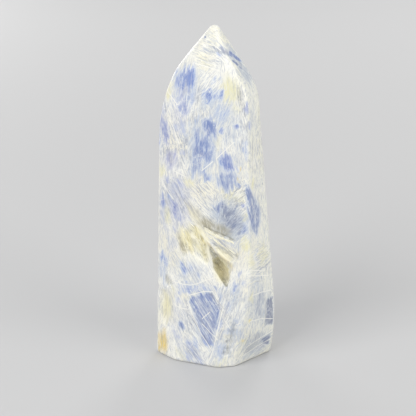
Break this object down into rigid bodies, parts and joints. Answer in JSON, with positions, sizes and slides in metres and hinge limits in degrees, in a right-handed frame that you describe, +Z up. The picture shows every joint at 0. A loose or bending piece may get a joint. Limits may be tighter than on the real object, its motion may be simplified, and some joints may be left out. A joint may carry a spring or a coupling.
{
  "type": "kyanite point",
  "caption": "Polished blue and cream kyanite tower with leaning faces, a six-sided point and a flat base to stand on.",
  "frame": {"origin": "on the flat base, right under the point of the stone", "axes": "+Z up from the base to the point, -Y toward the near side with the hollow, +X to its right"},
  "size_m": [0.0346, 0.0276, 0.0992],
  "materials": {
    "polished_kyanite": "polished stone with a satin sheen, blue blades in cream and white fibres, rough in the hollows"
  },
  "bodies": {
    "root": {"kyanite_point": "polished_kyanite"}
  },
  "joints": []
}
